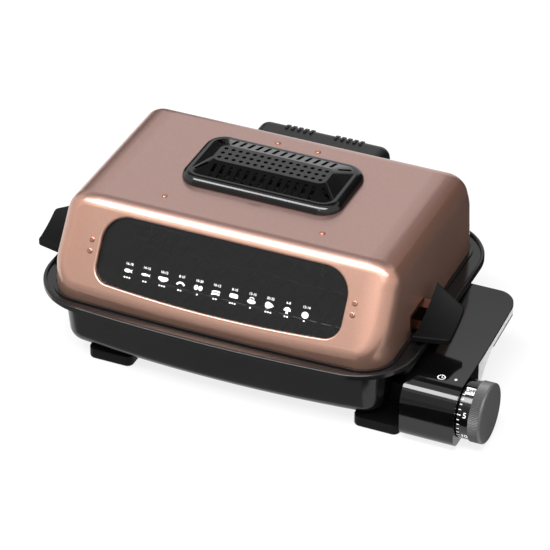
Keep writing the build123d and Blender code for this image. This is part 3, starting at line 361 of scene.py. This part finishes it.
def arc_band(x, y, radius, start, end, half_width, count=24):
    """Closed outline of a bent band: radius + half_width along an arc, back along radius - half_width."""
    t = np.radians(np.linspace(start, end, count))
    around = np.column_stack([np.cos(t), np.sin(t)])
    there, back_again = (radius + half_width) * around, (radius - half_width) * around[::-1]
    return np.array([x, y]) + np.concatenate([there, back_again])


cover_front, cover_height, cover_rise = -0.099, 0.066, 0.0577
hollow_depth, hollow_middle, hollow_half = 0.0026, -0.021, 0.078
print_lift = 0.0001


def on_drum(flat):
    """Artwork laid on the cover's top, which rises to the rear, less a hollow: depth (1 - share squared),
    the share being the way from the hollow's middle to its end."""
    x, y, height = flat.T
    hollow = hollow_depth * (1 - ((y - hollow_middle) / hollow_half) ** 2)
    top = cover_height + cover_rise * (y - cover_front) - hollow
    return np.column_stack([x, y, top + height + print_lift]) + tub_centre


index_x, index_y, index_radius = 0.2408, -0.092, 0.0014
clock_x, clock_y, clock_radius, clock_line = 0.2266, -0.0935, 0.0036, 0.0004
hand_corners = [[0, 2.6], [0.4, 2.6], [0.4, 0.4], [1.8, 0.4], [1.8, -0.3], [0, -0.3]]
hands = np.array(hand_corners) / 1000
clock_face = [arc_band(clock_x, clock_y, clock_radius, a, a + 180, clock_line) for a in (0, 180)]
clock_face.append(hands[::-1] + np.array([clock_x, clock_y]))
index_dot = ellipse(index_x, index_y, index_radius, index_radius)
printed("drum_index", [index_dot, *clock_face], on_drum, "base", ink)


# Timer: clockwork in a moulded frame of ivory nylon, hung inside the drum's end wall. The dial on its shaft
# has a gloss black skirt for the scale and a toothed charcoal grip with a fine leather grain.
nylon, tree, skin, place = new_material("ivory_nylon")
cloud = put(tree, "ShaderNodeTexNoise", {"Vector": (place, "Object"), "Scale": every_mm(8.3), "Detail": 3.0})
tone = put(tree, "ShaderNodeMix", {0: (cloud, 0), 6: srgb("#d3cbb6"), 7: srgb("#ded8c8")}, data_type="RGBA")
wire(tree, skin, {"Base Color": (tone, 2), "Roughness": 0.5})
dress(nylon, "timer_body")

dial_abs, tree, skin, place = new_material("charcoal_dial_abs")
split = put(tree, "ShaderNodeSeparateXYZ", {0: (place, "Object")})
grip_range = {"From Min": 0.2370, "From Max": 0.2374}
grip = put(tree, "ShaderNodeMapRange", {"Value": (split, 0), **grip_range})
leather = put(tree, "ShaderNodeTexVoronoi", {"Vector": (place, "Object"), "Scale": every_mm(1.1)})
grain_height = put(tree, "ShaderNodeMath", {0: (leather, 0), 1: (grip, 0)}, operation="MULTIPLY")
bump = put(tree, "ShaderNodeBump", {"Height": (grain_height, 0), "Strength": 0.2, "Distance": 0.0003})
tone = put(tree, "ShaderNodeMix", {0: (grip, 0), 6: srgb("#070707"), 7: srgb("#444444")}, data_type="RGBA")
rough = put(tree, "ShaderNodeMapRange", {"Value": (grip, 0), "To Min": 0.12, "To Max": 0.5})
wire(tree, skin, {"Base Color": (tone, 2), "Roughness": (rough, 0), "Normal": (bump, 0)})
dress(dial_abs, "timer_dial")


# Dial scale: a bar for each minute in white ink round the skirt, 10 degrees apart, and a number at each
# fifth. OFF stands dark on a white field, where the scale begins.
dial_y, dial_z, skirt_radius = -0.0895, 0.034, 0.0294
off_angle, minute_step = 72, 10
bars_x, numbers_x, off_x = 0.2538, 0.2596, 0.2585
long_half, short_half, bar_half_width = 0.0019, 0.0012, 0.00045
off_half_x, off_half_y = 0.0046, 0.0042
minute_height, off_height, off_bold = 0.0052, 0.004, 0.06
capital_share, bend_step = 0.7, 0.0004


def on_skirt(middle_x, angle, lift=0.0):
    """Artwork wrapped on the skirt: x runs along its axis, y round it, upwards where it faces the front."""
    def lay(flat):
        x, y, height = flat.T
        t = np.radians(angle) + y / skirt_radius
        r = skirt_radius + height + lift
        return np.column_stack([middle_x + x, dial_y - r * np.cos(t), dial_z + r * np.sin(t)]) + tub_centre
    return lay


def bar(half_x, half_y, steps=4):
    """Closed rectangle, up along x = half_x and down along x = -half_x, in steps so that it can bend."""
    side = np.linspace(-half_y, half_y, steps)
    up_right = np.column_stack([np.full(steps, half_x), side])
    down_left = np.column_stack([np.full(steps, -half_x), side[::-1]])
    return np.concatenate([up_right, down_left])


def lettered(name, words, height, lay, body, material, bold=0.01):
    """Words made a mesh, cut level every 0.4 mm so that they bend, and laid on the piece. The font's size is
    the height over a capital's share of it."""
    letters = bpy.data.curves.new(name, "FONT")
    letters.body = words
    letters.size = height / capital_share
    letters.align_x = "CENTER"
    letters.align_y = "CENTER"
    letters.extrude = film
    letters.offset = bold * height
    setter = bpy.data.objects.new(name, letters)
    made = bpy.data.meshes.new_from_object(setter)
    bpy.data.objects.remove(setter)
    work = bmesh.new()
    work.from_mesh(made)
    for cut in np.arange(-height / 2, height / 2, bend_step):
        everything = [*work.verts, *work.edges, *work.faces]
        bmesh.ops.bisect_plane(work, geom=everything, plane_co=(0, cut, 0), plane_no=(0, 1, 0))
    work.to_mesh(made)
    work.free()
    flat = np.empty(len(made.vertices) * 3)
    made.vertices.foreach_get("co", flat)
    made.vertices.foreach_set("co", lay(flat.reshape(-1, 3)).ravel())
    made.update()
    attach(piece(name, made, material), body)


minute_bars = []
for minute in range(1, 31):
    around = skirt_radius * np.radians(off_angle - minute_step * minute)
    half_length = long_half if minute % 5 == 0 else short_half
    minute_bars.append(bar(half_length, bar_half_width) + np.array([0, around]))
printed("minute_bars", minute_bars, on_skirt(bars_x, 0, film), "timer", ink)
for minute in range(5, 31, 5):
    lay_number = on_skirt(numbers_x, off_angle - minute_step * minute, 2 * film)
    lettered(f"minute_{minute}", str(minute), minute_height, lay_number, "timer", ink)

dark_ink, tree, skin, place = new_material("black_pad_ink")
mottle = put(tree, "ShaderNodeTexNoise", {"Vector": (place, "Object"), "Scale": every_mm(1.1), "Detail": 2.0})
tone = put(tree, "ShaderNodeMix", {0: (mottle, 0), 6: srgb("#101010"), 7: srgb("#1c1c1c")}, data_type="RGBA")
wire(tree, skin, {"Base Color": (tone, 2), "Roughness": 0.5})
printed("off_field", [bar(off_half_x, off_half_y, 16)], on_skirt(off_x, off_angle, film), "timer", ink)
lettered("off_word", "OFF", off_height, on_skirt(off_x, off_angle, 3 * film), "timer", dark_ink, off_bold)


# Lid: drawn steel pressing in rose-gold metallic paint under a clear coat. Its tone holds painted light:
# pinker where it faces up, more copper on its slopes, as painted reflection, and darker and redder on the
# crowns of its ends, as painted shade. The flakes are drawn at 0.8 mm so that they show, and the shading lets
# both ends fall away a little.
rose_gold, tree, skin, place = new_material("rose_gold_metallic_paint")
facing = put(tree, "ShaderNodeSeparateXYZ", {0: (place, "Normal")})
spot = put(tree, "ShaderNodeSeparateXYZ", {0: (place, "Object")})
from_middle = put(tree, "ShaderNodeMath", {0: (spot, 0), 1: tub_centre[0]}, operation="SUBTRACT")
across = put(tree, "ShaderNodeMath", {0: (from_middle, 0)}, operation="ABSOLUTE")
upward = put(tree, "ShaderNodeMapRange", {"Value": (facing, 2), "From Min": 0.75, "From Max": 0.98})
# Painted reflection: the tone follows where the paint faces, pinker upwards and more copper on the slopes.
paint = put(tree, "ShaderNodeMix", {0: (upward, 0), 6: srgb("#b98f7d"), 7: srgb("#a8867e")}, data_type="RGBA")
end_range, end_drop = {"From Min": 0.142, "From Max": 0.192}, 0.009
end_share = put(tree, "ShaderNodeMapRange", {"Value": (across, 0), **end_range})
# Painted shade: where the lid's ends turn down from the top, the tone is darkened to a redder brown.
turned_range = {"From Min": 0.25, "From Max": 0.6, "To Min": 0.0, "To Max": 0.7}
turned = put(tree, "ShaderNodeMapRange", {"Value": (facing, 2), **turned_range})
end_shade_share = put(tree, "ShaderNodeMath", {0: (end_share, 0), 1: (turned, 0)}, operation="MULTIPLY")
end_shade_mix = {0: (end_shade_share, 0), 6: (paint, 2), 7: srgb("#a86f5a")}
end_painted_shade = put(tree, "ShaderNodeMix", end_shade_mix, data_type="RGBA")
flakes = put(tree, "ShaderNodeTexVoronoi", {"Vector": (place, "Object"), "Scale": every_mm(0.8)})
glint = put(tree, "ShaderNodeSeparateColor", {0: (flakes, "Color")})
glint_share = put(tree, "ShaderNodeMapRange", {"Value": (glint, 0), "To Min": 0.0, "To Max": 0.07})
sparkle = {0: (glint_share, 0), 6: (end_painted_shade, 2), 7: srgb("#e9d2c6")}
tone = put(tree, "ShaderNodeMix", sparkle, data_type="RGBA")
rough = put(tree, "ShaderNodeMapRange", {"Value": (glint, 1), "To Min": 0.3, "To Max": 0.38})
bend = put(tree, "ShaderNodeMapRange", {"Value": (upward, 0), "To Min": 2.0, "To Max": 1.3})
fall = put(tree, "ShaderNodeMath", {0: (end_share, 0), 1: (bend, 0)}, operation="POWER")
drop = put(tree, "ShaderNodeMath", {0: (fall, 0), 1: -end_drop}, operation="MULTIPLY")
crowned = put(tree, "ShaderNodeBump", {"Height": (drop, 0), "Strength": 1.0, "Distance": 1.0})
wire(tree, skin, {"Base Color": (tone, 2), "Roughness": (rough, 0), "Metallic": 0.85, "Normal": (crowned, 0)})
wire(tree, skin, {"Coat Weight": 0.5, "Coat Roughness": 0.12})
dress(rose_gold, "lid_shell")


# Rivets: copper-plated steel with domed heads, through the lid and what hangs behind it. The plating is
# bright, with a slight tarnish.
copper, tree, skin, place = new_material("copper_plated_rivet")
cloud = put(tree, "ShaderNodeTexNoise", {"Vector": (place, "Object"), "Scale": every_mm(2), "Detail": 3.0})
tone = put(tree, "ShaderNodeMix", {0: (cloud, 0), 6: srgb("#ab7a66"), 7: srgb("#c69a86")}, data_type="RGBA")
rough = put(tree, "ShaderNodeMapRange", {"Value": (cloud, 0), "To Min": 0.22, "To Max": 0.34})
wire(tree, skin, {"Base Color": (tone, 2), "Roughness": (rough, 0), "Metallic": 1.0})
dress(copper, "lid_rivets")


# Handle straps: bent steel tongues that carry the handles off the lid's hot sides, riveted through it. They
# are copper-plated too, painted dark for the shade under the handles, lighter and darker in clouds.
shaded_strap, tree, skin, place = new_material("copper_strap_with_painted_shade")
cloud = put(tree, "ShaderNodeTexNoise", {"Vector": (place, "Object"), "Scale": every_mm(6.2), "Detail": 4.0})
# Painted shade: both tones are darkened for the shade that falls under the handles.
tone = put(tree, "ShaderNodeMix", {0: (cloud, 0), 6: srgb("#4a3129"), 7: srgb("#6e4b3f")}, data_type="RGBA")
rough = put(tree, "ShaderNodeMapRange", {"Value": (cloud, 0), "To Min": 0.18, "To Max": 0.32})
wire(tree, skin, {"Base Color": (tone, 2), "Roughness": (rough, 0), "Metallic": 1.0})
dress(shaded_strap, "handle_strap_left", "handle_strap_right")


# Hood bars: low ribs moulded on the rear hood between its slots, which let the steam out. They are of the
# hood's own polyester, 2.4 mm wide and 1.4 mm high, and run over its rounded rear edge.
hood_rear, hood_top, hood_round = 0.162, 0.147, 0.012
group_middle, rib_pitch = 0.0275, 0.0068
rib_half_x, rib_half_y, rib_middle, rib_height = 0.0012, 0.00675, 0.00375, 0.0014


def on_hood(flat):
    """Shapes bent over the hood's rear edge: y runs level up to 0, then along an arc of angle y / round."""
    x, y, height = flat.T
    t = np.maximum(y, 0) / hood_round
    r = hood_round + height
    rear = hood_rear - hood_round + np.minimum(y, 0) + r * np.sin(t)
    return np.column_stack([x, rear, hood_top - hood_round + r * np.cos(t)]) + tub_centre


groups = (-group_middle, group_middle)
rib_places = [middle + rib_pitch * step for middle in groups for step in range(-2, 3)]
ribs = [bar(rib_half_x, rib_half_y, 16) + np.array([x, rib_middle]) for x in rib_places]
printed("hood_bars", ribs, on_hood, "lid", polyester, rib_height)


# Window: a pane of smoke-tinted tempered glass on a dull black silicone gasket, held from inside by two clips
# in the tub's black paint and by the turned-in edge of the lid. It has the faint roll wave of float glass.
silicone, tree, skin, place = new_material("black_silicone")
bloom = put(tree, "ShaderNodeTexNoise", {"Vector": (place, "Object"), "Scale": every_mm(2.5), "Detail": 2.0})
tone = put(tree, "ShaderNodeMix", {0: (bloom, 0), 6: srgb("#101010"), 7: srgb("#1a1a1a")}, data_type="RGBA")
wire(tree, skin, {"Base Color": (tone, 2), "Roughness": 0.6})
dress(silicone, "window_gasket")
dress(enamel, "window_clip_left", "window_clip_right")

smoke_glass, tree, skin, place = new_material("smoke_tempered_glass")
roll = put(tree, "ShaderNodeTexNoise", {"Vector": (place, "Object"), "Scale": every_mm(110), "Detail": 1.0})
bump = put(tree, "ShaderNodeBump", {"Height": (roll, 0), "Strength": 0.03, "Distance": 0.001})
tint = put(tree, "ShaderNodeMix", {0: (roll, 0), 6: srgb("#727272"), 7: srgb("#7c7c7c")}, data_type="RGBA")
wire(tree, skin, {"Base Color": (tint, 2), "Roughness": 0.03, "Normal": (bump, 0)})
wire(tree, skin, {"Transmission Weight": 1.0, "IOR": 1.52})
dress(smoke_glass, "window_glass")


# Window print: a row of eleven foods in white ink on the glass. Each has its minutes above it and its heat,
# one to three dots, below. The shapes are plain closed curves, 8 to 9 mm wide.
crease_y, crease_z, lean = -0.083, 0.1706, np.radians(32.09)
glass_depth = 0.005


def on_glass(flat):
    """Artwork on the pane: x to the right, y up the slope from the lid's crease, height out of the glass."""
    x, y, height = flat.T
    out = height - glass_depth + film
    rise = np.column_stack([np.zeros_like(y), np.full_like(y, np.sin(lean)), np.full_like(y, np.cos(lean))])
    face = np.column_stack([np.zeros_like(y), np.full_like(y, -np.cos(lean)), np.full_like(y, np.sin(lean))])
    crease = np.column_stack([x, np.full_like(y, crease_y), np.full_like(y, crease_z)])
    return crease + y[:, None] * rise + out[:, None] * face + tub_centre


t = np.linspace(0, 2 * np.pi, 40, endpoint=False)
# fish: an ellipse cut open at its right end, where three points make a forked tail
around_body = np.radians(np.linspace(25, 335, 32))
body = np.column_stack([0.75 * np.cos(around_body) - 0.2, 0.4 * np.sin(around_body)])
fish = np.concatenate([body, [[1.0, -0.4], [0.8, 0.0], [1.0, 0.4]]])
# cutlet: radius 1 + 0.18 cos 2t + 0.12 sin 3t
cutlet_radius = 1 + 0.18 * np.cos(2 * t) + 0.12 * np.sin(3 * t)
cutlet = np.column_stack([np.cos(t), 0.62 * np.sin(t)]) * cutlet_radius[:, None]
# loaf: superellipse of power 4, its lower half flattened
circle = np.column_stack([np.cos(t), np.sin(t)])
loaf = np.sign(circle) * np.abs(circle) ** 0.5
loaf[:, 1] = np.where(loaf[:, 1] > 0, 0.62 * loaf[:, 1], 0.3 * loaf[:, 1])
# drumstick: a drop whose radius falls off towards its bone
drumstick = np.column_stack([np.cos(t), 0.8 * np.sin(t) * np.sin(t / 2) ** 1.2 + 0.12 * np.sin(t)])
# bulb: a heart curve turned up, radius 1 - 0.3 sin t
bulb = np.column_stack([0.75 * np.cos(t), 0.72 * np.sin(t)]) * (1 - 0.3 * np.sin(t))[:, None]
cap = arc_band(0, -0.25, 0.42, 0, 180, 0.4)
stem = np.array([[-0.25, -0.3], [-0.3, -0.85], [0.3, -0.85], [0.25, -0.3]])
foods = [
    [fish],
    [fish * np.array([1.1, 0.7])],
    [cutlet],
    [arc_band(0, -0.75, 0.95, 25, 155, 0.2)],
    [ellipse(-0.52, 0, 0.48, 0.55), ellipse(0.52, 0, 0.48, 0.55)],
    [arc_band(0.2, -2.2, 2.4, 72, 118, 0.18), arc_band(0.1, -2.75, 2.4, 70, 116, 0.18)],
    [loaf],
    [ellipse(0, -0.15, 1.0, 0.45), arc_band(0, 0.15, 0.6, 30, 150, 0.1)],
    [drumstick],
    [cap, stem],
    [bulb],
]
minutes = "16-18 14-15 10-12 8-10 18-20 10-12 8-10 13-15 20-22 6-8 12-14".split()
heat = [3, 2, 3, 2, 1, 2, 3, 1, 3, 2, 1]
first_food, last_food = -0.0975, 0.0917
food_places = np.linspace(first_food, last_food, len(foods))
food_size, food_y = 0.0045, -0.0633
dot_pitch, dot_y, dot_half_x, dot_half_y = 0.0026, -0.0700, 0.0009, 0.0008
number_y, number_height = -0.0566, 0.0024


def above_food(x):
    """Lays a number on the pane above the food at x."""
    def lay(flat):
        return on_glass(flat + np.array([x, number_y, 0]))
    return lay


food_outlines = []
for food, dot_count, x in zip(foods, heat, food_places):
    food_outlines += [food_size * shape + np.array([x, food_y]) for shape in food]
    dots = dot_pitch * (np.arange(dot_count) - (dot_count - 1) / 2)
    food_outlines += [ellipse(x + dot, dot_y, dot_half_x, dot_half_y, 12) for dot in dots]
printed("food_row", food_outlines, on_glass, "lid", ink)
for count, x in zip(minutes, food_places):
    lettered(f"food_minutes_{round(x * 1e4)}", count, number_height, above_food(x), "lid", ink)


# Filter: a block of extruded activated carbon in square cells, lying in a stainless pan below the vent cover.
# The carbon is dull black and a little dusty. The pan's sheet has fine streaks from the rolls, as have the
# hangers of the upper heater.
carbon, tree, skin, place = new_material("activated_carbon")
dust = put(tree, "ShaderNodeTexNoise", {"Vector": (place, "Object"), "Scale": every_mm(1.4), "Detail": 4.0})
bump = put(tree, "ShaderNodeBump", {"Height": (dust, 0), "Strength": 0.4, "Distance": 0.0003})
tone = put(tree, "ShaderNodeMix", {0: (dust, 0), 6: srgb("#0d0d0d"), 7: srgb("#2a2a29")}, data_type="RGBA")
wire(tree, skin, {"Base Color": (tone, 2), "Roughness": 0.85, "Normal": (bump, 0)})
dress(carbon, "deodorizing_filter")

stainless, tree, skin, place = new_material("rolled_stainless")
streak_scale = (every_mm(25), every_mm(1.1), every_mm(1.1))
rolled = put(tree, "ShaderNodeMapping", {"Vector": (place, "Object"), "Scale": streak_scale})
streaks = put(tree, "ShaderNodeTexNoise", {"Vector": (rolled, 0), "Scale": 1.0, "Detail": 2.0})
tone = put(tree, "ShaderNodeMix", {0: (streaks, 0), 6: srgb("#b4b3b0"), 7: srgb("#c6c5c2")}, data_type="RGBA")
rough = put(tree, "ShaderNodeMapRange", {"Value": (streaks, 0), "To Min": 0.28, "To Max": 0.4})
wire(tree, skin, {"Base Color": (tone, 2), "Roughness": (rough, 0), "Metallic": 1.0})
dress(stainless, "filter_holder")
dress(stainless, "heater_hanger_left", "heater_hanger_right", "heater_hanger_rear")


# Vent cover: a hollow hill of glossy black PBT over the vent, seated in the pan and lifted off for washing.
# It has the shine of an unpolished mould, with a slight flow wave.
pbt, tree, skin, place = new_material("gloss_black_pbt")
wave = put(tree, "ShaderNodeTexNoise", {"Vector": (place, "Object"), "Scale": every_mm(25), "Detail": 2.0})
bump = put(tree, "ShaderNodeBump", {"Height": (wave, 0), "Strength": 0.03, "Distance": 0.001})
rough = put(tree, "ShaderNodeMapRange", {"Value": (wave, 0), "To Min": 0.1, "To Max": 0.2})
tone = put(tree, "ShaderNodeMix", {0: (wave, 0), 6: srgb("#060606"), 7: srgb("#0a0a0a")}, data_type="RGBA")
wire(tree, skin, {"Base Color": (tone, 2), "Roughness": (rough, 0), "Normal": (bump, 0)})
dress(pbt, "vent_cover")
